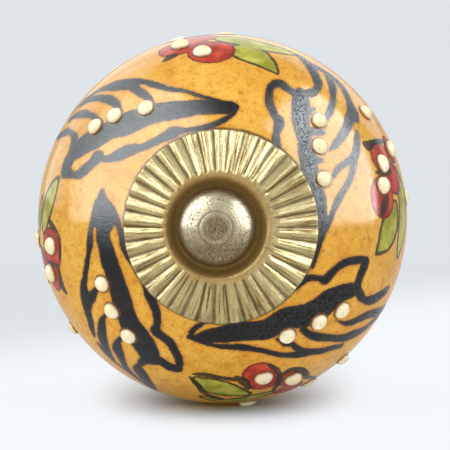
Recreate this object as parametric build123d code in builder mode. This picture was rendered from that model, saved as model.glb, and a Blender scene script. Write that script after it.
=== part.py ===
"""Hand-painted ceramic cabinet knob, clamped between a fluted rosette and a rear base by one bolt.

The origin is the centre of the face that meets the door. +Y runs along the bolt into the door,
-Y out to the front of the knob, and +Z is up. All sizes are in millimetres.
"""

import os
from math import acos, cos, degrees, pi, radians, sin, sqrt, tan

from build123d import *

# Ceramic ball: an ellipse turned about the bolt, flat at the back and sunk at the front
BALL_DIAMETER = 40.0
BALL_DEPTH = 35.0  # of the whole ellipse, before the flat and the seat
BACK_LAND = 1.0  # flat left showing round the neck of the rear base
BORE_CLEARANCE = 0.5  # round the thread
SEAT_DEPTH = 1.9  # below the front of the whole ellipse
SEAT_CLEARANCE = 0.5  # round the rosette's lip
GLAZE_ROUNDING = 0.5

# Raised dots of slip, fired on to the glaze
DOT_HEIGHT = 0.8
LEAF_DOT_DIAMETER = 1.8
FLOWER_DOT_DIAMETER = 2.0
SINGLE_DOT_DIAMETER = 1.7

# Bolt with a domed head
THREAD_DIAMETER = 4.0
SHANK_DIAMETER = 3.5  # blank of a rolled thread
STUD_LENGTH = 30.0  # past the door face
TIP_CHAMFER = 0.7
HEAD_DIAMETER = 8.2
HEAD_SIDE = 1.2
HEAD_DOME = 2.5
HEAD_FACET_DIAMETER = 2.3
HEAD_EDGE = 0.2

# Rosette: pressed sheet, a fluted cone round a sunken well
ROSETTE_SHEET = 0.5
ROSETTE_HOLE_CLEARANCE = 0.25
RIM_DIAMETER = 20.2
RIM_OFFSET = 0.4  # the well is struck off the rim's centre
RIM_GAP = 0.05
CONE_ANGLE = 25.0
FLUTE_COUNT = 38
FLUTE_DEPTH = 0.5  # at the rim
WELL_CLEARANCE = 0.35  # round the bolt head
WELL_FLARE = 0.8  # from the well's floor out to the lip
WELL_BEND = 0.7
LIP_LAND = 1.0  # plain band between the lip and the flutes

# Rear base: pressed sheet, a hollow ferrule that covers the nut
BASE_SHEET = 0.8
BASE_HOLE_CLEARANCE = 0.25
NECK_DIAMETER = 15.0
WAIST_DIAMETER = 16.4
FOOT_DIAMETER = 20.0
FOOT_HEIGHT = 1.5
WAIST_HEIGHT = 2.6
BASE_BEND = 0.9

# Washer and nut that draw the stack together
WASHER_DIAMETER = 9.0
WASHER_THICKNESS = 0.8
WASHER_HOLE_CLEARANCE = 0.15
NUT_FLATS = 7.0
NUT_HEIGHT = 3.2
NUT_SETBACK = 1.2  # from the door face
NUT_CHAMFER_ANGLE = 30.0

# Clock angle, clockwise from the top as seen from the front, and latitude, from the widest
# circle towards the front, of each raised dot, in degrees
LEAF_DOTS = [
    (328, 44), (316, 38), (308, 34),
    (44, 41), (52, 48), (66, 53),
    (148, 47), (134, 43), (125, 38),
    (243, 47), (231, 44), (219, 41),
]
FLOWER_DOTS = [
    (354, 25), (347, 16), (346, 1), (1, -1),
    (77, 28), (70, 24), (67, 12), (83, 3),
    (164, 32), (155, 24), (152, 4), (172, 5),
    (262, 25), (253, 19), (252, 3), (264, 5),
]
SINGLE_DOTS = [(53, 16), (139, 8), (234, 6), (324, -5)]

# Half of a section: x is the distance from the bolt's axis, y the distance out from the door
SECTION = Plane(origin=(0, 0, 0), x_dir=(1, 0, 0), z_dir=(0, 0, -1))
# The door's face, seen from the front
DOOR = Plane.XZ

ball_radius = BALL_DIAMETER / 2
ball_half_depth = BALL_DEPTH / 2
shank_radius = SHANK_DIAMETER / 2
thread_radius = THREAD_DIAMETER / 2
head_radius = HEAD_DIAMETER / 2
rim_radius = RIM_DIAMETER / 2
neck_radius = NECK_DIAMETER / 2
foot_radius = FOOT_DIAMETER / 2


def ball_rise(radius):
    """Distance of the glaze from the plane of the ball's widest circle."""
    return ball_half_depth * sqrt(1 - (radius / ball_radius) ** 2)


# The stack, from the door out to the front
nut_face = NUT_SETBACK
washer_face = nut_face + NUT_HEIGHT
base_inside = washer_face + WASHER_THICKNESS
base_top = base_inside + BASE_SHEET
back_flat_radius = neck_radius + BACK_LAND
ball_middle = base_top + ball_rise(back_flat_radius)
seat_floor = ball_middle + ball_half_depth - SEAT_DEPTH
well_floor = seat_floor + ROSETTE_SHEET

# The rosette's well and cone
well_radius = head_radius + WELL_CLEARANCE
lip_radius = well_radius + WELL_FLARE
seat_radius = lip_radius + ROSETTE_SHEET + SEAT_CLEARANCE
cone_slope = tan(radians(CONE_ANGLE))
cone_sheet = ROSETTE_SHEET / cos(radians(CONE_ANGLE))
rim_foot = ball_middle + ball_rise(rim_radius - RIM_OFFSET) + RIM_GAP


def valley(radius):
    """Height of the bottom of a flute, on the front of the sheet."""
    return rim_foot + cone_sheet + (rim_radius - radius) * cone_slope


def crest(radius):
    """Height of the ridge between two flutes. Flutes grow in depth with their width."""
    return valley(radius) + FLUTE_DEPTH * radius / rim_radius


def lip_band(radius):
    """Height of the plain band round the well, half way up the flutes that run into it."""
    return (valley(radius) + crest(radius)) / 2


def glaze_plane(clock, latitude):
    """Plane that touches the glaze at a place, with its normal pointing out of the ball."""
    turn = radians(clock)
    tilt = radians(latitude)
    outward = Vector(sin(turn), 0, cos(turn))
    front = Vector(0, -1, 0)
    foot = outward * (ball_radius * cos(tilt)) + front * (ball_middle + ball_half_depth * sin(tilt))
    normal = outward * (cos(tilt) / ball_radius) + front * (sin(tilt) / ball_half_depth)
    return Plane(origin=foot, z_dir=normal)


def slip_dots(places, diameter):
    """Adds low domes of one size to the part that is open."""
    sphere_radius = (diameter**2 / 4 + DOT_HEIGHT**2) / (2 * DOT_HEIGHT)
    with Locations(*[glaze_plane(*place).offset(DOT_HEIGHT - sphere_radius) for place in places]):
        Sphere(sphere_radius)


# Ceramic ball
with BuildPart() as ceramic_ball:
    with BuildSketch(SECTION):
        with Locations((0, ball_middle)):
            Ellipse(ball_radius, ball_half_depth)
        with Locations((thread_radius + BORE_CLEARANCE, base_top)):
            Rectangle(ball_radius, BALL_DEPTH, align=Align.MIN, mode=Mode.INTERSECT)
        with Locations((0, seat_floor)):
            Rectangle(seat_radius, SEAT_DEPTH, align=Align.MIN, mode=Mode.SUBTRACT)
    revolve(axis=Axis.Y)
    seat_mouth = ceramic_ball.edges().sort_by(Axis.Y)[:1]
    back_edges = ceramic_ball.edges().group_by(Axis.Y)[-1]
    fillet(seat_mouth + back_edges, radius=GLAZE_ROUNDING)
    slip_dots(LEAF_DOTS, LEAF_DOT_DIAMETER)
    slip_dots(FLOWER_DOTS, FLOWER_DOT_DIAMETER)
    slip_dots(SINGLE_DOTS, SINGLE_DOT_DIAMETER)

# One pleat of the rosette, half a flute on each side of its ridge, along X with its front up
with BuildPart() as pleat:
    for radius in (lip_radius + RIM_OFFSET, rim_radius + RIM_OFFSET):
        half_width = radius * tan(pi / FLUTE_COUNT)
        with BuildSketch(Plane.YZ.offset(radius)):
            with BuildLine():
                Polyline(
                    (-half_width, valley(radius)),
                    (0, crest(radius)),
                    (half_width, valley(radius)),
                    (half_width, valley(radius) - cone_sheet),
                    (0, crest(radius) - cone_sheet),
                    (-half_width, valley(radius) - cone_sheet),
                    close=True,
                )
            make_face()
    loft(ruled=True)

# Front rosette: the pleats trimmed to a round rim, and the well with its lip
with BuildPart(DOOR) as front_rosette:
    with Locations((RIM_OFFSET, 0)):
        with PolarLocations(0, FLUTE_COUNT):
            add(pleat.part)
        with Locations((0, 0, ball_middle)):
            Cylinder(rim_radius, BALL_DEPTH * 2, mode=Mode.INTERSECT)
    with BuildSketch(SECTION):
        with BuildLine():
            FilletPolyline(
                (thread_radius + ROSETTE_HOLE_CLEARANCE, well_floor),
                (well_radius, well_floor),
                (lip_radius, lip_band(lip_radius)),
                (lip_radius + LIP_LAND, lip_band(lip_radius + LIP_LAND)),
                radius=WELL_BEND,
            )
            offset(amount=ROSETTE_SHEET, side=Side.RIGHT)
        make_face()
    revolve(axis=Axis.Y)

# Bolt: the length inside the nut has the blank's diameter, where the two threads meet
facet_angle = degrees(acos(HEAD_FACET_DIAMETER / HEAD_DIAMETER))
with BuildPart() as bolt:
    with BuildSketch(SECTION):
        with BuildLine():
            dome = EllipticalCenterArc(
                (0, well_floor + HEAD_SIDE), head_radius, HEAD_DOME, arc_size=facet_angle
            )
            Polyline(
                dome @ 1,
                (0, (dome @ 1).Y),
                (0, -STUD_LENGTH),
                (thread_radius - TIP_CHAMFER, -STUD_LENGTH),
                (thread_radius, TIP_CHAMFER - STUD_LENGTH),
                (thread_radius, nut_face),
                (shank_radius, nut_face),
                (shank_radius, well_floor),
                (head_radius - HEAD_EDGE, well_floor),
                (head_radius, well_floor + HEAD_EDGE),
                dome @ 0,
            )
        make_face()
    revolve(axis=Axis.Y)

# Rear base
with BuildPart() as rear_base:
    with BuildSketch(SECTION):
        with BuildLine():
            FilletPolyline(
                (thread_radius + BASE_HOLE_CLEARANCE, base_top),
                (neck_radius, base_top),
                (WAIST_DIAMETER / 2, WAIST_HEIGHT),
                (foot_radius, FOOT_HEIGHT),
                (foot_radius, 0),
                radius=BASE_BEND,
            )
            offset(amount=BASE_SHEET, side=Side.RIGHT)
        make_face()
    revolve(axis=Axis.Y)

# Flat washer
with BuildPart() as flat_washer:
    with BuildSketch(DOOR.offset(washer_face)):
        Circle(WASHER_DIAMETER / 2)
        Circle(thread_radius + WASHER_HOLE_CLEARANCE, mode=Mode.SUBTRACT)
    extrude(amount=WASHER_THICKNESS)

# Hex nut, its corners turned off at both faces
nut_corner = NUT_FLATS / 2 / cos(pi / 6)
corner_drop = (nut_corner - NUT_FLATS / 2) * tan(radians(NUT_CHAMFER_ANGLE))
with BuildPart() as hex_nut:
    with BuildSketch(DOOR.offset(nut_face)):
        RegularPolygon(NUT_FLATS / 2, 6, major_radius=False)
    extrude(amount=NUT_HEIGHT)
    with BuildSketch(SECTION):
        with BuildLine():
            Polyline(
                (shank_radius, nut_face),
                (NUT_FLATS / 2, nut_face),
                (nut_corner, nut_face + corner_drop),
                (nut_corner, washer_face - corner_drop),
                (NUT_FLATS / 2, washer_face),
                (shank_radius, washer_face),
                close=True,
            )
        make_face()
    revolve(axis=Axis.Y, mode=Mode.INTERSECT)

os.makedirs("parts", exist_ok=True)
pieces = {
    "ceramic_ball": ceramic_ball,
    "front_rosette": front_rosette,
    "bolt": bolt,
    "rear_base": rear_base,
    "flat_washer": flat_washer,
    "hex_nut": hex_nut,
}
for name, piece in pieces.items():
    piece.part.label = name
    export_step(piece.part, f"parts/{name}.step")
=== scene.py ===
"""Hand-painted ceramic cabinet knob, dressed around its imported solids."""

from math import acos, atan2, ceil, cos, pi, radians, sin, sqrt, tan

import bpy
import numpy as np
from mathutils import Matrix, Vector


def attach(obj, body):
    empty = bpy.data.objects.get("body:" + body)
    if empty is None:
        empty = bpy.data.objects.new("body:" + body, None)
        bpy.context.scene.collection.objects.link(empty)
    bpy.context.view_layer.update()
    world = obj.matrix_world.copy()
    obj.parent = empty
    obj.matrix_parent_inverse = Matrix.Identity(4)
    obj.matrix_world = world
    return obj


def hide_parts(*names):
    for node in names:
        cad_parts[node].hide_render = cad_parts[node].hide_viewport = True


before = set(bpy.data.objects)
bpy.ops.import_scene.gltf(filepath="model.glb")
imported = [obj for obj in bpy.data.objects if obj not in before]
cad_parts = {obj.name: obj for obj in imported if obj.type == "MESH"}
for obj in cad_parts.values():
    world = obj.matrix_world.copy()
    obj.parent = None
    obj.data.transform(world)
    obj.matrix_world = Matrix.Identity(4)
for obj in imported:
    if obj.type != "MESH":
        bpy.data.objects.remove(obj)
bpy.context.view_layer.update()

# Sizes of the knob in millimetres, as in the solids
BALL_RADIUS = 20.0
BALL_HALF_DEPTH = 17.5
BACK_FLAT_RADIUS = 8.5
BORE_RADIUS = 2.5
SEAT_RADIUS = 6.25
SEAT_DEPTH = 1.9

DOT_HEIGHT = 0.8

THREAD_RADIUS = 2.0
THREAD_PITCH = 0.7
SHANK_RADIUS = 1.75
STUD_LENGTH = 30.0
TIP_CHAMFER = 0.7
HEAD_RADIUS = 4.1
HEAD_SIDE = 1.2
HEAD_DOME = 2.5
HEAD_FACET_RADIUS = 1.15

ROSETTE_SHEET = 0.5
ROSETTE_HOLE_RADIUS = 2.25
RIM_RADIUS = 10.1
RIM_OFFSET = 0.4
RIM_GAP = 0.05
CONE_SLOPE = tan(radians(25.0))
FLUTE_COUNT = 38
FLUTE_DEPTH = 0.5
WELL_RADIUS = 4.45
LIP_RADIUS = 5.25
LIP_LAND = 1.0
WELL_BEND = 0.7

BASE_HEIGHT = 6.0
BASE_SHEET = 0.8
BASE_HOLE_RADIUS = 2.25
NECK_RADIUS = 7.5
WAIST_RADIUS = 8.2
WAIST_HEIGHT = 2.6
FOOT_RADIUS = 10.0
FOOT_HEIGHT = 1.5
BASE_BEND = 0.9
NUT_FACE = 1.2


def ball_rise(radius):
    """Distance of the glaze from the plane of the ball's widest circle."""
    return BALL_HALF_DEPTH * sqrt(1 - (radius / BALL_RADIUS) ** 2)


BALL_MIDDLE = BASE_HEIGHT + ball_rise(BACK_FLAT_RADIUS)
SEAT_FLOOR = BALL_MIDDLE + BALL_HALF_DEPTH - SEAT_DEPTH
WELL_FLOOR = SEAT_FLOOR + ROSETTE_SHEET

# The photograph's view: 450 pixels wide, the ball's middle and outline in its pixels
PHOTO_SIZE = 450
BALL_PIXEL = (222.5, 218.9)
BALL_PIXEL_RADIUS = 184.6
VIEW_AZIMUTH = radians(2.0)
VIEW_ELEVATION = radians(2.9)
VIEW_DISTANCE = 350.0
SENSOR = 36.0

view_back = np.array([sin(VIEW_AZIMUTH), -cos(VIEW_AZIMUTH), tan(VIEW_ELEVATION)]) * cos(VIEW_ELEVATION)
view_right = np.array([cos(VIEW_AZIMUTH), sin(VIEW_AZIMUTH), 0.0])
view_up = np.cross(view_back, view_right)
ball_centre = np.array([0.0, -BALL_MIDDLE, 0.0])
view_eye = ball_centre + view_back * VIEW_DISTANCE
ball_axes = np.array([BALL_RADIUS, BALL_HALF_DEPTH, BALL_RADIUS])
# Pixels for each millimetre at the ball's middle, and the focal length in pixels
pixel_scale = BALL_PIXEL_RADIUS * sqrt(1 - (BALL_RADIUS / VIEW_DISTANCE) ** 2) / BALL_RADIUS
focal_pixels = pixel_scale * VIEW_DISTANCE

# Clock angle, clockwise from the top, and latitude, from the widest circle towards the front
LEAF_DOTS = [
    (328, 44), (316, 38), (308, 34),
    (44, 41), (52, 48), (66, 53),
    (148, 47), (134, 43), (125, 38),
    (243, 47), (231, 44), (219, 41),
]
FLOWER_DOTS = [
    (354, 25), (347, 16), (346, 1), (1, -1),
    (77, 28), (70, 24), (67, 12), (83, 3),
    (164, 32), (155, 24), (152, 4), (172, 5),
    (262, 25), (253, 19), (252, 3), (264, 5),
]
SINGLE_DOTS = [(53, 16), (139, 8), (234, 6), (324, -5)]

# The kinds of dots with their radius in millimetres
DOT_SIZES = [(LEAF_DOTS, 0.9), (FLOWER_DOTS, 1.0), (SINGLE_DOTS, 0.85)]

# Petals of the flowers: clock angle, latitude and radius in millimetres
PETALS = [
    (357, 24, 2.6), (346, 17, 2.2), (352, 9, 2.3), (346, 1, 1.6),
    (81, 29, 2.3), (68, 23, 2.0), (67, 12, 1.6), (76, 18, 1.8),
    (165, 35, 1.9), (164, 29, 1.9), (155, 24, 1.8), (152, 4, 1.6), (158, 14, 1.7),
    (261, 24, 2.4), (253, 20, 2.1), (252, 3, 1.6), (257, 11, 1.8),
]

# Strokes of the flowers: x, y and width in the photograph's pixels along each stroke
GREEN_STROKES = {
    "top_near": [(240, 50, 10), (247, 52, 15), (256, 56, 15), (265, 62, 12), (273, 69, 6), (277, 73, 2)],
    "top_far": [(220, 38, 7), (230, 39, 11), (246, 42, 12), (262, 46, 11), (280, 50, 8), (297, 55, 2)],
    "right_near": [
        (395, 206, 5), (393, 216, 11), (390, 228, 15), (386, 239, 13), (381, 247, 7), (377, 253, 2),
    ],
    "right_far": [(396, 172, 5), (401, 190, 11), (403, 210, 12), (402, 232, 11), (398, 255, 3)],
    "bottom_near": [(197, 379, 4), (209, 385, 12), (222, 389, 13), (235, 392, 9), (246, 394, 4)],
    "bottom_far": [(203, 397, 3), (222, 401, 5), (244, 399, 8), (262, 395, 7), (272, 392, 3)],
    "left_near": [(58, 179, 2), (53, 190, 8), (48, 204, 11), (45, 218, 9), (44, 228, 5)],
    "left_far": [(42, 200, 3), (40, 215, 6), (39, 232, 6), (40, 246, 3)],
}
DARK_STROKES = {
    "top_tip": [(176, 55, 5), (170, 57, 8), (164, 61, 4)],
    "right_tip": [(364, 144, 4), (369, 146, 9), (374, 142, 6), (384, 141, 4)],
    "right_waist": [(376, 172, 3), (384, 173, 6), (391, 171, 4)],
    "right_joint": [(387, 198, 5), (385, 205, 9), (382, 214, 5)],
    "bottom_joint": [(237, 377, 4), (243, 381, 8), (249, 388, 5)],
    "bottom_ring": [(269, 365, 3), (278, 371, 6), (279, 381, 6), (273, 391, 4)],
    "bottom_arc": [(282, 375, 5), (290, 370, 6), (300, 370, 7), (307, 375, 6)],
    "bottom_tip": [(306, 377, 5), (316, 378, 5), (328, 375, 2)],
    "bottom_leaf": [(194, 374, 3), (206, 375, 6), (222, 378, 5), (240, 380, 5)],
    "bottom_leaf_end": [(190, 377, 3), (197, 384, 5), (206, 394, 6), (222, 399, 5)],
    "left_edge": [(49, 218, 3), (51, 224, 6), (57, 232, 4), (60, 243, 4), (60, 258, 4)],
    "left_waist": [(48, 262, 4), (57, 266, 4)],
    "left_tip": [(58, 266, 4), (60, 277, 6), (62, 286, 9), (66, 292, 4)],
}

# Brush strokes of the black leaves, given in the same way
LEAF_STROKES = {
    "top_band": [
        (238, 106, 3), (230, 107, 12), (215, 107, 14), (200, 107, 15), (185, 109, 17), (170, 111, 19),
        (155, 113, 19), (140, 119, 19), (128, 123, 22), (112, 129, 17), (95, 139, 17), (80, 147, 14),
        (72, 156, 8), (66, 170, 8),
    ],
    "top_outer": [
        (218, 101, 4), (200, 96, 4), (185, 91, 4), (170, 89, 5), (155, 85, 6), (143, 82, 5), (130, 84, 9),
        (118, 85, 8), (108, 87, 5), (98, 91, 3), (85, 100, 3), (74, 111, 2), (64, 123, 2), (56, 134, 2),
    ],
    "top_inner": [
        (239, 106, 2), (234, 113, 4), (224, 120, 6), (212, 125, 6), (200, 128, 6), (188, 130, 5),
        (179, 131, 8), (172, 133, 12), (162, 138, 9), (150, 144, 8), (140, 148, 8), (131, 150, 12),
        (121, 154, 12), (111, 158, 8), (104, 159, 7), (98, 157, 12), (92, 163, 9), (82, 172, 9),
        (74, 175, 7), (67, 172, 13),
    ],
    "top_rib_1": [(133, 87, 9), (140, 92, 9), (147, 97, 8), (153, 103, 4), (154, 111, 2)],
    "top_rib_2": [(82, 104, 3), (92, 99, 4), (102, 98, 5), (110, 100, 9), (116, 104, 9), (120, 109, 5)],
    "top_rib_3": [(70, 119, 3), (77, 115, 4), (85, 114, 6), (92, 116, 6), (98, 119, 5), (102, 123, 3)],
    "top_rib_4": [(56, 139, 3), (62, 134, 4), (69, 132, 5), (74, 137, 6), (73, 144, 5), (70, 153, 4)],
    "top_base": [(90, 132, 3), (82, 139, 4), (76, 146, 5), (71, 154, 6), (67, 163, 8), (65, 171, 8)],
    "right_band": [
        (301, 93, 12), (301, 103, 18), (300, 115, 17), (302, 128, 16), (305, 140, 15), (307, 152, 17),
        (309, 163, 18), (312, 175, 14), (316, 188, 14), (320, 200, 13), (322, 212, 11), (323, 223, 10),
        (322, 234, 8), (319, 245, 6), (316, 257, 5), (312, 268, 3),
    ],
    "right_inner": [
        (297, 95, 6), (288, 89, 7), (279, 83, 8), (271, 87, 8), (269, 97, 8), (271, 107, 9), (275, 115, 8),
        (279, 122, 11), (277, 131, 8), (276, 140, 8), (279, 150, 6),
    ],
    "right_outer": [
        (299, 56, 4), (309, 64, 6), (318, 68, 5), (327, 73, 5), (336, 80, 5), (344, 90, 5), (350, 103, 5),
        (353, 112, 8), (356, 120, 4),
    ],
    "right_rib_1": [(309, 65, 6), (315, 75, 6), (318, 84, 7), (315, 91, 8), (308, 94, 8)],
    "right_rib_2": [(326, 72, 4), (331, 82, 5), (333, 94, 5), (332, 105, 6), (329, 113, 7), (326, 120, 4)],
    "right_rib_3": [
        (353, 112, 8), (350, 119, 10), (346, 129, 9), (340, 139, 9), (334, 146, 7), (330, 150, 3),
    ],
    "right_rib_4": [
        (357, 132, 3), (357, 141, 6), (356, 152, 8), (351, 159, 8), (344, 164, 7), (337, 170, 6),
        (333, 177, 4),
    ],
    "right_rib_5": [
        (356, 150, 7), (354, 163, 7), (351, 176, 6), (346, 187, 6), (339, 198, 7), (334, 209, 6),
        (330, 220, 6), (326, 230, 5),
    ],
    "right_dot_1": [(309, 131, 9), (322, 132, 7)],
    "right_dot_2": [(311, 160, 12), (321, 160, 6)],
    "right_dot_3": [(309, 112, 6), (314, 108, 3)],
    "bottom_band": [
        (189, 337, 4), (199, 338, 9), (210, 336, 14), (222, 335, 17), (235, 332, 20), (250, 331, 20),
        (265, 330, 20), (275, 325, 21), (285, 318, 20), (297, 317, 23), (308, 315, 23), (319, 309, 22),
        (330, 301, 21), (341, 294, 16), (350, 291, 14), (357, 288, 9),
    ],
    "bottom_tip": [
        (190, 337, 5), (193, 330, 6), (200, 325, 5), (208, 322, 3), (222, 322, 2), (240, 321, 2),
    ],
    "bottom_inner": [
        (357, 287, 7), (360, 277, 7), (364, 267, 8), (365, 260, 7), (357, 260, 8), (347, 262, 8),
        (338, 267, 7), (331, 274, 8), (325, 280, 9), (318, 278, 6), (310, 278, 7), (303, 281, 8),
        (297, 288, 4),
    ],
    "bottom_outer": [
        (189, 337, 4), (200, 341, 5), (212, 345, 4), (226, 347, 5), (240, 347, 7), (254, 349, 5),
        (268, 352, 5), (282, 355, 5), (294, 355, 6), (303, 353, 8), (312, 352, 6), (322, 351, 5),
        (332, 348, 4), (341, 346, 3),
    ],
    "bottom_rib_1": [(277, 339, 4), (284, 344, 4), (291, 344, 6), (297, 348, 7), (303, 353, 8)],
    "bottom_rib_2": [
        (303, 329, 8), (309, 334, 8), (318, 337, 8), (330, 338, 6), (342, 338, 6), (352, 335, 6),
        (361, 331, 5), (369, 325, 5), (378, 316, 5),
    ],
    "bottom_rib_3": [
        (336, 320, 2), (344, 323, 4), (352, 322, 5), (361, 318, 5), (370, 314, 5), (378, 312, 5),
        (386, 306, 4),
    ],
    "bottom_rib_4": [
        (355, 286, 8), (359, 292, 8), (363, 299, 8), (370, 300, 7), (378, 297, 6), (387, 290, 5),
    ],
    "left_band": [
        (102, 191, 5), (102, 200, 11), (104, 210, 18), (104, 219, 22), (103, 228, 15), (103, 238, 14),
        (106, 248, 15), (109, 260, 17), (113, 272, 17), (117, 285, 18), (121, 298, 19), (125, 311, 18),
        (130, 324, 19), (138, 336, 20), (145, 347, 19), (150, 357, 16),
    ],
    "left_inner": [
        (108, 205, 8), (114, 214, 8), (118, 224, 6), (121, 236, 5), (123, 247, 6), (128, 258, 4),
        (134, 267, 3), (140, 276, 3), (145, 286, 5), (149, 295, 9), (154, 305, 9), (157, 316, 8),
        (157, 325, 8), (156, 331, 10), (163, 337, 8), (170, 343, 9), (175, 351, 8), (179, 361, 8),
        (178, 368, 8), (170, 367, 8), (162, 362, 8), (154, 359, 10),
    ],
    "left_outer": [
        (97, 203, 6), (94, 216, 6), (91, 229, 5), (90, 241, 7), (89, 252, 5), (87, 264, 5), (85, 277, 5),
        (84, 288, 7), (86, 299, 10), (87, 309, 7), (90, 320, 5), (92, 329, 4), (94, 336, 2),
    ],
    "left_hook": [(152, 359, 9), (144, 361, 8), (139, 366, 7), (141, 373, 7), (146, 380, 6), (153, 387, 4)],
    "left_rib_1": [(100, 286, 4), (96, 290, 6), (92, 296, 9), (88, 304, 8)],
    "left_rib_2": [
        (108, 313, 4), (104, 317, 5), (102, 325, 7), (102, 334, 7), (104, 343, 6), (107, 350, 5),
        (112, 359, 4),
    ],
    "left_rib_3": [
        (122, 337, 4), (118, 342, 6), (118, 350, 8), (121, 358, 5), (125, 366, 4), (131, 373, 4),
    ],
    "left_rim": [
        (98, 343, 2), (104, 351, 4), (111, 358, 3), (119, 365, 3), (128, 371, 4), (137, 378, 4),
        (146, 384, 4), (155, 390, 4),
    ],
}

# One millimetre in metres
MM = 0.001
# Share of the outline's radius that counts as the front of the ball
FRONT_SHARE = 0.9995
# Points for each span of a stroke, and the least share of its flat width
STROKE_STEPS = 5
LEAST_WIDTH = 0.9
SHORTEST_RUN = 1e-12


def metres(points):
    """Points in millimetres as an array in metres."""
    return np.asarray(points, float) * MM


def srgb(red, green, blue):
    """A colour as it is seen, from 0 to 255 each, in the renderer's linear values."""
    parts = [channel / 255 for channel in (red, green, blue)]
    return tuple(c / 12.92 if c <= 0.04045 else ((c + 0.055) / 1.055) ** 2.4 for c in parts) + (1.0,)


def climb(value, start, run):
    """0 up to a start, then rising to 1 over a run. A run below 0 counts downwards."""
    return np.clip((value - start) / run, 0, 1)


def direction(vectors):
    """The same vectors with length 1."""
    return vectors / np.linalg.norm(vectors, axis=-1, keepdims=True)


def glaze_point(clock, latitude):
    """Point on the glaze and the direction out of the ball there, in millimetres."""
    turn, tilt = radians(clock), radians(latitude)
    unit = np.array([sin(turn) * cos(tilt), -sin(tilt), cos(turn) * cos(tilt)])
    return ball_centre + unit * ball_axes, direction(unit / ball_axes)


def pixel_to_glaze(x, y):
    """Point on the glaze that shows at a pixel. Past the outline it runs on round the back."""
    offset = np.array([x - BALL_PIXEL[0], BALL_PIXEL[1] - y])
    reach = np.linalg.norm(offset)
    edge = BALL_PIXEL_RADIUS * FRONT_SHARE
    behind = reach > edge
    if behind:
        offset *= (2 * edge - reach) / reach
    ray = -view_back * focal_pixels + view_right * offset[0] + view_up * offset[1]
    start = (view_eye - ball_centre) / ball_axes
    step = ray / ball_axes
    a, b, c = step @ step, 2 * start @ step, start @ start - 1
    root = sqrt(max(b * b - 4 * a * c, 0.0))
    t = (-b + root if behind else -b - root) / (2 * a)
    return view_eye + ray * t


def smooth_path(points, steps):
    """Points on a smooth curve through the given ones, with a number of steps for each span."""
    p = np.asarray(points, float)
    p = np.vstack([2 * p[0] - p[1], p, 2 * p[-1] - p[-2]])
    t = np.linspace(0, 1, steps, endpoint=False)[:, None]
    spans = []
    for a, b, c, d in zip(p[:-3], p[1:-2], p[2:-1], p[3:]):
        square = 2 * a - 5 * b + 4 * c - d
        cube = 3 * b - a - 3 * c + d
        spans.append(0.5 * (2 * b + (c - a) * t + square * t**2 + cube * t**3))
    return np.vstack(spans + [p[-2:-1]])


def stroke_on_glaze(points, slant):
    """Points on the glaze and half widths of a stroke in pixels, widened by a slant at most."""
    path = smooth_path(points, STROKE_STEPS)
    along = np.gradient(path[:, :2], axis=0)
    across = direction(np.stack([-along[:, 1], along[:, 0]], axis=1))
    half = path[:, 2:3] / 2
    places = (path[:, :2], path[:, :2] + across * half, path[:, :2] - across * half)
    middle, one, other = (np.array([pixel_to_glaze(x, y) for x, y in row]) for row in places)
    flat_half = path[:, 2] / 2 / pixel_scale
    seen_half = np.linalg.norm(one - other, axis=1) / 2
    return middle, np.clip(seen_half, flat_half * LEAST_WIDTH, flat_half * slant)


def distance_to_stroke(places, path, half_widths, reach):
    """Distance of each place from a stroke's edge, negative inside, and reach where it is far."""
    result = np.full(len(places), reach)
    centre = path.mean(axis=0)
    span = np.linalg.norm(path - centre, axis=1).max() + half_widths.max() + reach
    near = np.flatnonzero(np.linalg.norm(places - centre, axis=1) < span)
    local = places[near]
    best = np.full(len(near), reach)
    for a, b, ra, rb in zip(path[:-1], path[1:], half_widths[:-1], half_widths[1:]):
        run = b - a
        t = np.clip((local - a) @ run / max(run @ run, SHORTEST_RUN), 0, 1)
        gap = np.linalg.norm(local - a - t[:, None] * run, axis=1) - (ra + (rb - ra) * t)
        best = np.minimum(best, gap)
    result[near] = best
    return result


def add_object(name, data):
    """A new object in the scene."""
    obj = bpy.data.objects.new(name, data)
    bpy.context.scene.collection.objects.link(obj)
    return obj


def new_mesh(name, vertices, faces):
    """A smooth mesh object from points in millimetres."""
    mesh = bpy.data.meshes.new(name)
    mesh.from_pydata(metres(vertices).tolist(), [], faces)
    mesh.validate()
    mesh.polygons.foreach_set("use_smooth", [True] * len(mesh.polygons))
    mesh.update()
    return add_object(name, mesh)


def add_attribute(obj, name, values):
    """Gives each vertex a number that the material reads."""
    obj.data.attributes.new(name, "FLOAT", "POINT").data.foreach_set("value", values)


def grid_faces(rows, columns, wrap_rows=False):
    """Quads of a grid of points that closes round its columns, row after row."""
    faces = []
    for i in range(rows if wrap_rows else rows - 1):
        for j in range(columns):
            a, b = i * columns, (i + 1) % rows * columns
            k = (j + 1) % columns
            faces.append((a + j, a + k, b + k, b + j))
    return faces


def full_turn(segments):
    """Angles of points round the axis."""
    return np.linspace(0, 2 * pi, segments, endpoint=False)


def turned_row(radius, out, turn):
    """Points round the axis, at a distance from it and out from the door."""
    return np.stack([radius * np.sin(turn), np.full(len(turn), -out), radius * np.cos(turn)], axis=1)


def lathe(name, profile, segments):
    """A turned mesh from a closed profile of distances from the axis and out from the door."""
    turn = full_turn(segments)
    rows = [turned_row(radius, out, turn) for radius, out in profile]
    return new_mesh(name, np.concatenate(rows), grid_faces(len(rows), segments, wrap_rows=True))


def sharpen(obj, angle):
    """Smooth shading that breaks where the surface turns by more than an angle in degrees."""
    obj.data.set_sharp_from_angle(angle=radians(angle))


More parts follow.
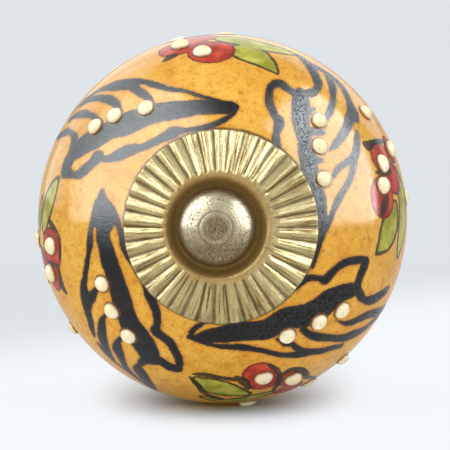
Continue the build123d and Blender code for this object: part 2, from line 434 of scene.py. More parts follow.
def rounded(points, radius, steps=6):
    """A run of straight lines with its corners rounded off."""
    p = [np.asarray(point, float) for point in points]
    path = [p[0]]
    for before, corner, after in zip(p[:-2], p[1:-1], p[2:]):
        u, v = direction(before - corner), direction(after - corner)
        half_angle = acos(np.clip(u @ v, -1, 1)) / 2
        setback = radius / tan(half_angle)
        middle = corner + direction(u + v) * radius / sin(half_angle)
        first, last = corner + u * setback - middle, corner + v * setback - middle
        start = atan2(first[1], first[0])
        sweep = (atan2(last[1], last[0]) - start + pi) % (2 * pi) - pi
        for i in range(steps + 1):
            angle = start + sweep * i / steps
            path.append(middle + radius * np.array([cos(angle), sin(angle)]))
    return path + [p[-1]]


def offset_path(path, amount):
    """The path moved to its right-hand side by an amount."""
    path = np.asarray(path)
    along = direction(np.gradient(path, axis=0))
    return path + np.stack([along[:, 1], -along[:, 0]], axis=1) * amount


class Nodes:
    """A short way to write the nodes of a material, a lamp or the world."""

    def __init__(self, owner, shader="Principled BSDF"):
        owner.use_nodes = True
        self.tree = owner.node_tree
        self.shader = self.tree.nodes[shader]

    def add(self, kind, inputs=None, **settings):
        node = self.tree.nodes.new("ShaderNode" + kind)
        for key, value in settings.items():
            setattr(node, key, value)
        for key, value in (inputs or {}).items():
            self.put(node.inputs[key], value)
        return node

    def put(self, socket, value):
        if isinstance(value, bpy.types.NodeSocket):
            self.tree.links.new(value, socket)
        else:
            socket.default_value = value

    def set(self, **inputs):
        for key, value in inputs.items():
            self.put(self.shader.inputs[key.replace("_", " ")], value)

    def attribute(self, name):
        return self.add("Attribute", attribute_name=name).outputs["Fac"]

    def place(self):
        return self.add("TexCoord").outputs["Object"]

    def axis(self, name, vector=None):
        """One coordinate of a vector, by default of the place."""
        return self.add("SeparateXYZ", {"Vector": vector or self.place()}).outputs[name]

    def vector(self, operation, a, b):
        return self.add("VectorMath", {0: a, 1: b}, operation=operation).outputs["Vector"]

    def length(self, vector):
        return self.add("VectorMath", {0: vector}, operation="LENGTH").outputs["Value"]

    def noise(self, scale, detail=3.0, roughness=0.55, vector=None):
        inputs = {"Scale": scale, "Detail": detail, "Roughness": roughness, "Vector": vector or self.place()}
        return self.add("TexNoise", inputs).outputs["Fac"]

    def math(self, operation, a, b):
        return self.add("Math", {0: a, 1: b}, operation=operation).outputs[0]

    def ramp(self, value, low, high, to_low=0.0, to_high=1.0):
        levels = dict(enumerate((value, low, high, to_low, to_high)))
        return self.add("MapRange", levels, interpolation_type="SMOOTHSTEP").outputs[0]

    def mix(self, factor, first, second):
        return self.add("Mix", {0: factor, 6: first, 7: second}, data_type="RGBA").outputs[2]

    def bump(self, height, distance, strength, normal=None):
        node = self.add("Bump", {"Height": height, "Distance": distance, "Strength": strength})
        if normal is not None:
            self.put(node.inputs["Normal"], normal)
        return node.outputs["Normal"]

    def two_tone(self, scale, low, high, first, second):
        """Two colours in soft patches, turning between two levels of a noise."""
        return self.mix(self.ramp(self.noise(scale), low, high), first, second)

    def speckle(self, colour, grain, low, high, share, speck):
        """A colour with specks of another where a noise is high."""
        return self.mix(self.ramp(self.noise(*grain), low, high, 0.0, share), colour, speck)

    def swing(self, scale, detail, roughness, amount):
        """A noise that swings by an amount round 0."""
        centred = self.math("SUBTRACT", self.noise(scale, detail, roughness), 0.5)
        return self.math("MULTIPLY", centred, amount)


# Ball
BALL_SEGMENTS = 512
FRONT_ROWS = 128
BACK_ROWS = 36
FRONT_START = radians(-16)
# Rounding at the back flat and the seat, and how far from each edge the glaze ends
BACK_ROUNDING = 0.25
SEAT_ROUNDING = 0.3
BACK_LEAD = 0.8
SEAT_LEAD = 1.1

# Reach of the distances to painted edges, half an outline's width, and most widening at a slant
PAINT_REACH = 2.0
OUTLINE_HALF = 0.2
BROAD_SLANT = 2.2
SMALL_SLANT = 1.3

# Two tones of each paint: noise scale, levels between which they turn, and both colours
AMBER_TONES = (130, 0.35, 0.68, srgb(236, 172, 50), srgb(246, 191, 76))
RED_TONES = (600, 0.35, 0.7, srgb(164, 40, 22), srgb(218, 80, 50))
GREEN_TONES = (500, 0.35, 0.7, srgb(152, 147, 32), srgb(204, 197, 78))
LINE_TONES = (420, 0.4, 0.65, srgb(26, 22, 16), srgb(62, 48, 26))
INK_TONES = (420, 0.45, 0.75, srgb(12, 11, 11), srgb(28, 22, 18))
# Where a paint fades in, in millimetres out from its edge
PAINT_SPAN = (0.07, -0.07)
# Dark lines: their name, where they fade in, and their share
OUTLINE = ("outline", PAINT_SPAN, 0.9)
LINE = ("line", PAINT_SPAN, 0.93)
# Tone at the edge of a paint, the paint, where the tone fades in, and its share
PETAL_EDGE = (srgb(104, 30, 20), "petal", (-0.45, 0.0), 1.0)
INK_EDGE = (srgb(70, 44, 24), "ink", (-0.3, 0.05), 0.75)
INK_HALO = (srgb(178, 104, 30), "ink", (0.35, 0.02), 0.5)
# A brown ring on the glaze round the foot of each dot, partly its own colour and partly painted shade
DOT_RING_AND_SHADE = (srgb(112, 66, 24), "ring", (0.28, 0.1), 0.75)
# Painted shadow: a dark line on the glaze round the rosette's rim
RIM_PAINTED_SHADOW = (srgb(58, 36, 18), "rim", (0.3, 0.05), 0.75)
# Specks in the amber: noise, levels between which they show, share and colour
AMBER_SPECKS = [
    ((650, 5.0, 0.7), 0.45, 0.68, 0.7, srgb(218, 140, 26)),
    ((3400, 2.0), 0.54, 0.7, 0.5, srgb(250, 208, 120)),
    ((6500, 3.0, 0.7), 0.46, 0.66, 0.5, srgb(200, 126, 34)),
    ((1700, 2.0), 0.57, 0.72, 0.6, srgb(184, 102, 22)),
    ((4300, 2.0), 0.66, 0.74, 0.6, srgb(128, 74, 26)),
]
# Unsteady brush: noise, and swing of the edges in millimetres
FINE_WAVER = (3000, 3.0, 0.6, 0.26)
BROAD_WAVER = (800, 2.0, 0.55, 0.24)
# Strength of the fine grain, and what the ink adds
GLAZE_GRAIN = 0.08
INK_GRAIN = 0.6
# The coat, what the ink adds, and small cells that break it up in broad ink to the right
COAT = 0.56
INK_COAT = 0.11
CELL_SCALE = 8000
CELL_LEVELS = (0.25, 0.75, 0.3, -0.4)
CELLS_TO_RIGHT = (-6 * MM, 8 * MM, 0.35, 1.0)
CELLS_IN_INK = (-0.15, -0.6, 0.3, 1.0)


def ball_profile():
    """Half section of the ball, from the bore's back edge round to its front edge."""
    seat_tilt = acos(SEAT_RADIUS / BALL_RADIUS)
    flat_tilt = -acos(BACK_FLAT_RADIUS / BALL_RADIUS)
    back = np.linspace(flat_tilt + BACK_LEAD / BALL_RADIUS, FRONT_START, BACK_ROWS, endpoint=False)
    front = np.linspace(FRONT_START, seat_tilt - SEAT_LEAD / BALL_RADIUS, FRONT_ROWS)
    glaze = [(BALL_RADIUS * cos(t), BALL_MIDDLE + BALL_HALF_DEPTH * sin(t)) for t in [*back, *front]]
    mouth = BALL_MIDDLE + ball_rise(SEAT_RADIUS)
    flat = [(BORE_RADIUS, BASE_HEIGHT), (BACK_FLAT_RADIUS, BASE_HEIGHT), glaze[0]]
    seat = [glaze[-1], (SEAT_RADIUS, mouth), (SEAT_RADIUS, SEAT_FLOOR), (BORE_RADIUS, SEAT_FLOOR)]
    return rounded(flat, BACK_ROUNDING)[:-1] + glaze + rounded(seat, SEAT_ROUNDING)[1:]


def nearest_stroke(places, strokes, slant):
    """Distance of each place from the nearest of the strokes."""
    nearest = np.full(len(places), PAINT_REACH)
    for points in strokes.values():
        path, half_widths = stroke_on_glaze(points, slant)
        nearest = np.minimum(nearest, distance_to_stroke(places, path, half_widths, PAINT_REACH))
    return nearest


def nearest_disc(places, discs):
    """Distance of each place from the nearest of the discs on the glaze."""
    nearest = np.full(len(places), PAINT_REACH)
    for clock, latitude, radius in discs:
        gap = np.linalg.norm(places - glaze_point(clock, latitude)[0], axis=1) - radius
        nearest = np.minimum(nearest, gap)
    return nearest


def paint_distances(places):
    """Distance in millimetres of each place from the edge of every kind of paint, from the dots, and from
    the rosette's rim, where a painted shadow runs.
    """
    green = nearest_stroke(places, GREEN_STROKES, BROAD_SLANT)
    dots = [(clock, latitude, radius) for group, radius in DOT_SIZES for clock, latitude in group]
    return {
        "ink": nearest_stroke(places, LEAF_STROKES, BROAD_SLANT),
        "petal": nearest_disc(places, PETALS),
        "green": green,
        "outline": np.abs(green) - OUTLINE_HALF,
        "line": nearest_stroke(places, DARK_STROKES, SMALL_SLANT),
        "ring": nearest_disc(places, dots),
        "rim": np.hypot(places[:, 0] - RIM_OFFSET, places[:, 2]) - RIM_RADIUS,
    }


def glaze_material():
    """Amber glaze with black, red and green painting, and a glossy coat over all of it."""
    material = bpy.data.materials.new("painted_glaze")
    n = Nodes(material)
    waver = n.math("ADD", n.swing(*FINE_WAVER), n.swing(*BROAD_WAVER))

    def cover(name, span=PAINT_SPAN, share=1.0):
        return n.ramp(n.math("ADD", n.attribute(name), waver), *span, 0.0, share)

    def paint(colour, tone, *where):
        return n.mix(cover(*where), colour, tone)

    amber = n.two_tone(*AMBER_TONES)
    for specks in AMBER_SPECKS:
        amber = n.speckle(amber, *specks)
    line_tone = n.two_tone(*LINE_TONES)
    ink = cover("ink")
    colour = paint(amber, *INK_HALO)
    colour = paint(colour, n.two_tone(*GREEN_TONES), "green")
    colour = paint(colour, line_tone, *OUTLINE)
    colour = paint(colour, paint(n.two_tone(*RED_TONES), *PETAL_EDGE), "petal")
    colour = paint(colour, line_tone, *LINE)
    colour = n.mix(ink, colour, paint(n.two_tone(*INK_TONES), *INK_EDGE))
    # Last, the brown ring with painted shade round each dot's foot, and the painted shadow round the
    # rosette's rim
    colour = paint(paint(colour, *DOT_RING_AND_SHADE), *RIM_PAINTED_SHADOW)

    grained = n.math("ADD", n.math("MULTIPLY", ink, INK_GRAIN), GLAZE_GRAIN)
    normal = n.bump(n.noise(6000, 2.0, 0.6), 0.05 * MM, grained)
    normal = n.bump(n.noise(260, 2.0), 0.2 * MM, 0.08, normal)
    to_right = n.ramp(n.axis("X"), *CELLS_TO_RIGHT)
    broken = n.math("MULTIPLY", to_right, n.ramp(n.attribute("ink"), *CELLS_IN_INK))
    cells = n.add("TexVoronoi", {"Scale": CELL_SCALE, "Vector": n.place()}).outputs["Color"]
    broken = n.math("MULTIPLY", broken, n.ramp(cells, *CELL_LEVELS))
    n.set(
        Base_Color=colour,
        Roughness=0.42,
        Specular_IOR_Level=0.0,
        Normal=normal,
        Coat_Weight=n.math("ADD", COAT, n.math("MULTIPLY", ink, n.math("ADD", broken, INK_COAT))),
        Coat_Roughness=0.13,
        Coat_IOR=1.5,
        Coat_Normal=normal,
    )
    return material


def build_ball():
    ball = lathe("painted_ball", ball_profile(), BALL_SEGMENTS)
    places = np.empty(len(ball.data.vertices) * 3)
    ball.data.vertices.foreach_get("co", places)
    for name, distance in paint_distances(places.reshape(-1, 3) / MM).items():
        add_attribute(ball, name, distance)
    ball.data.materials.append(glaze_material())
    sharpen(ball, 50)
    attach(ball, "root")
    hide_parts("ceramic_ball")
    return ball


# Raised dots: rings, points round each ring, and the bend of the flank
DOT_RINGS = 9
DOT_SEGMENTS = 28
DOT_FLANK = 0.9
# How far a dot's foot lies below the glaze
DOT_SINK = 0.04
# Unevenness of dots set by hand
DOT_SEED = 7
DOT_STRETCH = (0.95, 1.06)
DOT_WOBBLE = 0.03
DOT_LEAN = 0.07
LEAST_PEAK = 0.88
# Dots are thinner near the ball's widest circle
THINNEST_DOT = 0.35
THIN_DOT_START = -4
FULL_DOT_LATITUDE = 10
# Slip, its pinholes, and its brown foot, partly thin slip and partly painted shade
SLIP_TONES = (900, 0.35, 0.7, srgb(250, 231, 182), srgb(255, 245, 213))
THIN_FOOT_AND_SHADE = srgb(118, 70, 26)
PINHOLES = ((2400, 2.0), 0.62, 0.74, 0.5, srgb(190, 140, 78))
FOOT_LEVELS = (0.1, 0.42)
FOOT_UNEVENNESS = 0.16


def slip_material():
    """Cream slip, thin and brown where it meets the glaze, with painted shade at its foot."""
    material = bpy.data.materials.new("cream_slip")
    n = Nodes(material)
    cream = n.speckle(n.two_tone(*SLIP_TONES), *PINHOLES)
    uneven = n.math("MULTIPLY", n.noise(1500, 2.0), FOOT_UNEVENNESS)
    above_foot = n.ramp(n.math("ADD", n.attribute("rise"), uneven), *FOOT_LEVELS)
    n.set(
        Base_Color=n.mix(above_foot, THIN_FOOT_AND_SHADE, cream),
        Roughness=0.5,
        Specular_IOR_Level=0.1,
        Normal=n.bump(n.noise(1800, 2.0), 0.04 * MM, 0.5),
        Coat_Weight=0.16,
        Coat_Roughness=0.22,
        Subsurface_Weight=0.2,
        Subsurface_Scale=0.5 * MM,
    )
    return material


def dot_points(clock, latitude, radius, chance):
    """Points of one dot, ring over ring, and the share of its height at each of them."""
    foot, normal = glaze_point(clock, latitude)
    side = direction(np.cross(normal, (0.0, 1.0, 0.0)))
    other = np.cross(normal, side)
    stretch = chance.uniform(*DOT_STRETCH, 2)
    wobble = chance.uniform(-DOT_WOBBLE, DOT_WOBBLE, 2)
    lean = chance.uniform(-DOT_LEAN, DOT_LEAN, 2)
    full = (latitude - THIN_DOT_START) / (FULL_DOT_LATITUDE - THIN_DOT_START)
    peak = DOT_HEIGHT * chance.uniform(LEAST_PEAK, 1.0) * np.clip(full, THINNEST_DOT, 1)
    share = np.linspace(0, 1, DOT_RINGS)[:, None]
    angle = full_turn(DOT_SEGMENTS)
    reach = radius * np.cos(share * pi / 2) ** DOT_FLANK
    edge = reach * (1 + wobble[0] * np.cos(2 * angle) + wobble[1] * np.sin(3 * angle))
    along = edge * np.cos(angle) * stretch[0] + lean[0] * share
    across = edge * np.sin(angle) * stretch[1] + lean[1] * share
    sink = (along**2 + across**2) / (2 * BALL_RADIUS) + DOT_SINK
    height = peak * np.sin(share * pi / 2) - sink
    points = foot + along[..., None] * side + across[..., None] * other + height[..., None] * normal
    return points.reshape(-1, 3), np.repeat(share, DOT_SEGMENTS)


def build_dots():
    chance = np.random.default_rng(DOT_SEED)
    points, rises, faces = [], [], []
    for places, radius in DOT_SIZES:
        for clock, latitude in places:
            start = len(points) * DOT_RINGS * DOT_SEGMENTS
            dot, rise = dot_points(clock, latitude, radius, chance)
            points.append(dot)
            rises.append(rise)
            faces += [tuple(start + k for k in face) for face in grid_faces(DOT_RINGS, DOT_SEGMENTS)]
            faces.append(tuple(range(start, start + DOT_SEGMENTS)))
    dots = new_mesh("slip_dots", np.concatenate(points), faces)
    add_attribute(dots, "rise", np.concatenate(rises))
    dots.data.materials.append(slip_material())
    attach(dots, "root")
    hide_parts("ceramic_ball")
    return dots


# Worn metal: noises, and the levels between which each shows
BLOTCHES = (420, 4.0, 0.6)
PITS = (5000, 4.0, 0.75)
LINES = (1.0, 4.0, 0.7)
BLOTCH_LEVELS = (0.4, 0.72, 0.0, 0.25)
PIT_LEVELS = (0.5, 0.66)
LINE_LEVELS = (0.42, 0.7)
SCRATCH_LEVELS = (0.56, 0.72)
PATCH_BLOTCHES = (0.25, 0.55, 0.75, 1.0)
PATCH_PITS = (0.36, 0.58, 0.65, 1.0)
# Depth of the pits against that of the lines
PIT_DEPTH = 0.4
GRIT_COLOUR = srgb(44, 34, 20)
# Scales of the lines round the rosette, along it, and of the rings on turned metal
RIM_LINES = (34.0,) * 3
ALONG_LINES = (260.0,) * 3
RINGS = 3200.0
ACROSS_AXIS = (1.0, 0.0, 1.0)


def metal_material(name, light, dark, grain, lined, gritty, stains_and_shade=()):
    """Worn metal with lines along a grain, dull patches where an attribute is high, stains and painted shade
    as each piece gives them, and dark grit.
    """
    material = bpy.data.materials.new(name)
    n = Nodes(material)
    lines = n.noise(*LINES, vector=grain(n))
    blotch = n.noise(*BLOTCHES)
    pits = n.noise(*PITS)
    grit = n.ramp(pits, *PIT_LEVELS, 0.0, gritty)
    patches = n.math("MULTIPLY", n.ramp(blotch, *PATCH_BLOTCHES), n.ramp(pits, *PATCH_PITS))
    amounts = [n.math("MULTIPLY", n.attribute(attribute), patches) for attribute, dull_tone in stains_and_shade]
    dull = 0.0
    for amount in amounts:
        dull = n.math("MAXIMUM", dull, amount)
    bare = n.math("SUBTRACT", 1.0, dull)
    lining = n.math("MULTIPLY", n.ramp(lines, *LINE_LEVELS, 0.0, lined), bare)
    shade = n.math("ADD", lining, n.ramp(blotch, *BLOTCH_LEVELS))
    colour = n.mix(shade, light, dark)
    for amount, (attribute, dull_tone) in zip(amounts, stains_and_shade):
        colour = n.mix(amount, colour, dull_tone)
    marks = n.math("MAXIMUM", grit, n.ramp(lines, *SCRATCH_LEVELS, 0.0, lined))
    relief = n.math("SUBTRACT", lining, n.math("MULTIPLY", grit, PIT_DEPTH))
    n.set(
        Base_Color=n.mix(marks, colour, n.mix(0.5, dark, GRIT_COLOUR)),
        Metallic=n.ramp(dull, 0.0, 1.0, 1.0, 0.25),
        Roughness=n.ramp(n.math("MAXIMUM", shade, grit), 0.0, 1.0, 0.22, 0.44),
        Normal=n.bump(relief, 0.06 * MM, 0.5),
    )
    return material


def radial_grain(n):
    """Lines that run straight out from the rim's centre."""
    from_centre = n.vector("SUBTRACT", n.place(), tuple(metres((RIM_OFFSET, 0.0, 0.0))))
    level = n.vector("MULTIPLY", from_centre, ACROSS_AXIS)
    unit = n.add("VectorMath", {0: level}, operation="NORMALIZE").outputs["Vector"]
    along = n.vector("MULTIPLY", n.place(), ALONG_LINES)
    return n.vector("ADD", n.vector("MULTIPLY", unit, RIM_LINES), along)


def turned_grain(n):
    """Rings round the bolt's axis."""
    reach = n.length(n.vector("MULTIPLY", n.place(), ACROSS_AXIS))
    across = n.math("MULTIPLY", reach, RINGS)
    along = n.math("MULTIPLY", n.axis("Y"), RINGS)
    return n.add("CombineXYZ", {"X": across, "Y": along}).outputs["Vector"]


# Rosette
FLUTE_SAMPLES = 16
WELL_ROWS = 14
CONE_ROWS = 34
RIM_BEVEL = 0.08
RIM_FOOT = BALL_MIDDLE + ball_rise(RIM_RADIUS - RIM_OFFSET) + RIM_GAP
CONE_SHEET = ROSETTE_SHEET / cos(atan2(CONE_SLOPE, 1.0))
LAND_END = LIP_RADIUS + LIP_LAND
# Where the flutes begin, how much earlier they start to rise, and over what length
FLUTE_START = LIP_RADIUS + RIM_OFFSET
FLUTE_LEAD = 0.1
FLUTE_FADE = 0.5
# Uneven pressing: lean of a ridge, lowest ridge, and rounding of the flank
FLUTE_SEED = 11
FLUTE_LEAN = 0.16
LOWEST_RIDGE = 0.8
FLUTE_ROUNDING = 0.6
# Look of the brass: light and dark tone, grain, shares of lines and grit, and dull patches: browner metal in
# the well, and grime with painted shade
ROSETTE_STAINS_AND_SHADE = [("recess", srgb(200, 156, 84)), ("grime_and_shade", srgb(72, 50, 2))]
ROSETTE_LOOK = (srgb(206, 187, 134), srgb(106, 76, 10), radial_grain, 0.8, 0.35, ROSETTE_STAINS_AND_SHADE)
# Shares of the browner, duller metal in the well and on its land, of painted shade deeper in the well, and
# of grime with painted shade on its lip, in the valleys and on the rim's edge
RECESS = 0.9
WELL_PAINTED_SHADE = 0.3
LIP_GRIME_AND_SHADE = 0.4
LIP_DARK_RADIUS = LIP_RADIUS + 0.1
LIP_DARK_REACH = 0.8
VALLEY_GRIME_AND_SHADE = 0.95
RIM_GRIME_AND_SHADE = 0.7
# Fill of a valley with grime and painted shade, cut off at 1, and how fast it falls up the flute
VALLEY_FILL = 1.2
VALLEY_FALL = 2.8


def valley(radius):
    """Height of the bottom of a flute."""
    return RIM_FOOT + CONE_SHEET + (RIM_RADIUS - radius) * CONE_SLOPE


def flute_depth(radius):
    return FLUTE_DEPTH * radius / RIM_RADIUS


def lip_band(radius):
    """Height of the plain band round the well."""
    return valley(radius) + flute_depth(radius) / 2


def lip_grime_and_shade(radius):
    """Share of grime and painted shade on the bend between well and flutes."""
    return LIP_GRIME_AND_SHADE * climb(np.abs(radius - LIP_DARK_RADIUS), LIP_DARK_REACH, -LIP_DARK_REACH)


def flute_wave(turn):
    """Share of the way up a flute, from 0 in a valley to 1 on a full ridge."""
    chance = np.random.default_rng(FLUTE_SEED)
    lean = chance.uniform(-FLUTE_LEAN, FLUTE_LEAN, FLUTE_COUNT)
    rise = chance.uniform(LOWEST_RIDGE, 1.0, FLUTE_COUNT)
    place = turn / (2 * pi) * FLUTE_COUNT + 0.5
    flute = np.floor(place).astype(int) % FLUTE_COUNT
    phase = place % 1
    ridge = 0.5 + lean[flute]
    wave = np.where(phase < ridge, phase / ridge, (1 - phase) / (1 - ridge))
    scallop = 1 - (1 - wave) ** 2
    return rise[flute] * ((1 - FLUTE_ROUNDING) * wave + FLUTE_ROUNDING * scallop)


def build_rosette():
    turn = full_turn(FLUTE_COUNT * FLUTE_SAMPLES)
    ring = np.ones(len(turn))
    lip_height = lip_band(LIP_RADIUS)
    section = [(ROSETTE_HOLE_RADIUS, WELL_FLOOR), (WELL_RADIUS, WELL_FLOOR)]
    section += [(LIP_RADIUS, lip_height), (LAND_END, lip_band(LAND_END))]
    well = np.array(rounded(section, WELL_BEND, WELL_ROWS))
    under = offset_path(well, ROSETTE_SHEET)
    lip_start = len(well) - WELL_ROWS - 2
    top, low, recess, grime_and_shade = [], [], [], []
    for (r, s), (r_low, s_low) in zip(well[:lip_start], under[:lip_start]):
        top.append(turned_row(r, s, turn))
        low.append(turned_row(r_low, s_low, turn))
        recess.append(RECESS * ring)
        # Painted shade that grows deeper into the well, and grime with painted shade on the lip's bend
        depth = climb(s, lip_height, WELL_FLOOR - lip_height)
        grime_and_shade.append(np.maximum(WELL_PAINTED_SHADE * depth, lip_grime_and_shade(r)) * ring)
    first = well[lip_start][0]
    lip = np.linspace(first, FLUTE_START, WELL_ROWS, endpoint=False)
    cone = np.linspace(FLUTE_START, RIM_RADIUS - RIM_BEVEL, CONE_ROWS)
    for q in [*lip, *cone, RIM_RADIUS]:
        shift = RIM_OFFSET * min(1.0, (q - first) / (FLUTE_START - first))
        x, z = shift + q * np.sin(turn), q * np.cos(turn)
        from_bolt = np.hypot(x, z)
        from_rim = np.hypot(x - RIM_OFFSET, z)
        wave = flute_wave(np.arctan2(x - RIM_OFFSET, z) % (2 * pi))
        fade = climb(from_rim, FLUTE_START - FLUTE_LEAD, FLUTE_FADE)
        band = np.interp(from_bolt, well[:, 0], well[:, 1], right=0.0)
        band = np.where(from_bolt < LAND_END, band, lip_band(from_bolt))
        high = band + (valley(from_rim) + flute_depth(from_rim) * wave - band) * fade
        at_rim = q == RIM_RADIUS
        top.append(np.stack([x, RIM_BEVEL * at_rim - high, z], axis=1))
        low.append(np.stack([x, CONE_SHEET - high, z], axis=1))
        recess.append(RECESS * climb(from_bolt, LAND_END, -LIP_LAND))
        # Grime with painted shade in the valleys, on the lip's bend and on the rim's edge
        in_valleys = VALLEY_GRIME_AND_SHADE * np.clip(VALLEY_FILL - wave * VALLEY_FALL, 0, 1) * fade
        grime_and_shade.append(np.maximum.reduce([in_valleys, lip_grime_and_shade(from_bolt), RIM_GRIME_AND_SHADE * at_rim * ring]))
    faces = grid_faces(2 * len(top), len(turn), wrap_rows=True)
    rosette = new_mesh("fluted_rosette", np.concatenate(top + low[::-1]), faces)
    for name, rows in (("recess", recess), ("grime_and_shade", grime_and_shade)):
        add_attribute(rosette, name, np.concatenate(rows + rows[::-1]))
    rosette.data.materials.append(metal_material("rosette_brass", *ROSETTE_LOOK))
    sharpen(rosette, 40)
    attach(rosette, "root")
    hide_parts("front_rosette")
    return rosette


# Bolt
BOLT_SEGMENTS = 56
DOME_ROWS = 60
HEAD_BEVEL = 0.2
# Turned groove on the dome and shallow dish in the crown
GROOVE_RADIUS = 1.75
GROOVE_DEPTH = 0.03
GROOVE_HALF = 0.08
DISH_DEPTH = 0.02
DISH_CENTRE = 0.02
# Thread: rows for each turn, slope of the flank, flat crest and root, and depth
THREAD_ROWS = 10
THREAD_FLANK = 2.2
THREAD_CREST = 0.1
THREAD_ROOT = 0.9
THREAD_DEPTH = 0.46
# Look of the plating
BOLT_WEAR_AND_SHADE = [("worn", srgb(78, 48, 20)), ("shade_low_and_crown", srgb(94, 70, 28))]
BOLT_LOOK = (srgb(208, 192, 154), srgb(70, 54, 34), turned_grain, 0.3, 0.9, BOLT_WEAR_AND_SHADE)
# Wear near the head's edge, by start and run, and in the groove
EDGE_WEAR = (3.3, 0.5)
GROOVE_WEAR = 0.6
GROOVE_WEAR_HALF = 0.1
# Painted shade low down on the head, away from the axis, and a darker crown, each by start and run
BOLT_DARKENING = 0.95
LOW_PAINTED_SHADE = (0.2, -2.4)
LOW_SHADE_OUT = (0.0, 2.0)
DARK_CROWN = (HEAD_FACET_RADIUS + 0.35, -0.4)


def groove(radius, half_width):
    """1 in the middle of the turned groove, falling off to both sides."""
    return np.exp(-(((radius - GROOVE_RADIUS) / half_width) ** 2))


def head_profile():
    """Half section of shank and head, from the nut's face over the dome to the crown."""
    facet = acos(HEAD_FACET_RADIUS / HEAD_RADIUS)
    top = WELL_FLOOR + HEAD_SIDE
    crown = top + HEAD_DOME * sin(facet)
    profile = [(SHANK_RADIUS, NUT_FACE), (SHANK_RADIUS, WELL_FLOOR)]
    profile += [(HEAD_RADIUS - HEAD_BEVEL, WELL_FLOOR), (HEAD_RADIUS, WELL_FLOOR + HEAD_BEVEL)]
    for t in np.linspace(0, facet, DOME_ROWS):
        r = HEAD_RADIUS * cos(t)
        profile.append((r, top + HEAD_DOME * sin(t) - GROOVE_DEPTH * groove(r, GROOVE_HALF)))
    return profile + [(HEAD_FACET_RADIUS / 2, crown - DISH_DEPTH / 2), (DISH_CENTRE, crown - DISH_DEPTH)]


def thread_rows(turn):
    """Rows of points on the threaded stud, from its tip to the nut's face."""
    count = ceil((STUD_LENGTH + NUT_FACE) / THREAD_PITCH) * THREAD_ROWS
    rows = []
    for s in np.linspace(-STUD_LENGTH, NUT_FACE, count):
        phase = (s / THREAD_PITCH + turn / (2 * pi)) % 1
        depth = np.clip(np.abs(phase - 0.5) * THREAD_FLANK - THREAD_CREST, 0, THREAD_ROOT) * THREAD_DEPTH
        limit = THREAD_RADIUS - TIP_CHAMFER + np.clip(s + STUD_LENGTH, 0, TIP_CHAMFER)
        rows.append(turned_row(np.minimum(THREAD_RADIUS - depth, limit), s, turn))
    return rows


def build_bolt():
    turn = full_turn(BOLT_SEGMENTS)
    rows = thread_rows(turn) + [turned_row(r, s, turn) for r, s in head_profile()]
    last = (len(rows) - 1) * BOLT_SEGMENTS
    faces = grid_faces(len(rows), BOLT_SEGMENTS)
    faces.append(tuple(range(BOLT_SEGMENTS))[::-1])
    faces.append(tuple(range(last, last + BOLT_SEGMENTS)))
    points = np.concatenate(rows)
    bolt = new_mesh("domed_bolt", points, faces)
    bolt.data.materials.append(metal_material("antique_plating", *BOLT_LOOK))
    across = np.hypot(points[:, 0], points[:, 2])
    on_head = -points[:, 1] > WELL_FLOOR
    in_groove = GROOVE_WEAR * groove(across, GROOVE_WEAR_HALF)
    add_attribute(bolt, "worn", np.maximum(climb(across, *EDGE_WEAR), in_groove) * on_head)
    # Painted shade on the lower part of the head, away from the axis, and a darker crown
    low = climb(points[:, 2], *LOW_PAINTED_SHADE) * climb(across, *LOW_SHADE_OUT)
    shade_low_and_crown = BOLT_DARKENING * np.maximum(low, climb(across, *DARK_CROWN))
    add_attribute(bolt, "shade_low_and_crown", shade_low_and_crown * on_head)
    sharpen(bolt, 35)
    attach(bolt, "root")
    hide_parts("bolt")
    return bolt


# Rear base, washer and nut
BASE_SEGMENTS = 128
BASE_LOOK = (srgb(194, 174, 118), srgb(110, 82, 36), turned_grain, 0.6, 0.4)
ZINC_LIGHT = srgb(190, 192, 194)
ZINC_DARK = srgb(150, 150, 146)


def build_base():
    section = [(BASE_HOLE_RADIUS, BASE_HEIGHT), (NECK_RADIUS, BASE_HEIGHT)]
    section += [(WAIST_RADIUS, WAIST_HEIGHT), (FOOT_RADIUS, FOOT_HEIGHT), (FOOT_RADIUS, 0.0)]
    outside = rounded(section, BASE_BEND)
    inside = offset_path(outside, BASE_SHEET)
    base = lathe("spun_base", list(outside) + list(inside[::-1]), BASE_SEGMENTS)
    base.data.materials.append(metal_material("base_brass", *BASE_LOOK))
    sharpen(base, 40)
    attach(base, "root")
    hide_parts("rear_base")
    return base


def zinc_material():
    material = bpy.data.materials.new("zinc_plate")
    n = Nodes(material)
    spangle = n.noise(900, 3.0, 0.6)
    n.set(
        Base_Color=n.mix(n.ramp(spangle, 0.35, 0.7), ZINC_LIGHT, ZINC_DARK),
        Metallic=1.0,
        Roughness=n.ramp(spangle, 0.3, 0.8, 0.28, 0.5),
        Normal=n.bump(n.noise(3000, 2.0), 0.02 * MM, 0.3),
    )
    return material


def dress_fasteners():
    zinc = zinc_material()
    fasteners = [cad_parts[name] for name in ("flat_washer", "hex_nut")]
    for fastener in fasteners:
        fastener.data.materials.clear()
        fastener.data.materials.append(zinc)
    return fasteners


# Floor, backdrop, light and camera
FLOOR_Z = -20.23
FLOOR_REACH = 4000.0
BRIGHT_FLOOR = srgb(248, 251, 254)
BACKDROP = srgb(224, 229, 233)
BLACK = srgb(0, 0, 0)
# Painted light and shade: the bright floor reaches further back on the right, by this share of the way
# across
RIGHT_LIGHT_REACH = 1.8
# Where the bright floor turns into the backdrop, in metres: to the back and all round
BACK_SPAN = (0.04, 0.15)
ROUND_SPAN = (0.2, 0.45)
# Middle of the knob's shadow and the shape it is counted in
SHADOW_CENTRE = (0.0, 5.0, FLOOR_Z)
SHADOW_SHAPE = (1.12, 0.3, 1.0)
# Where the floor shines by itself, in metres: partly past the shadow, and fully far out
SHINE_SPAN = (0.008, 0.019)
SHINE = 0.92
FULL_SHINE_SPAN = (0.08, 0.25)
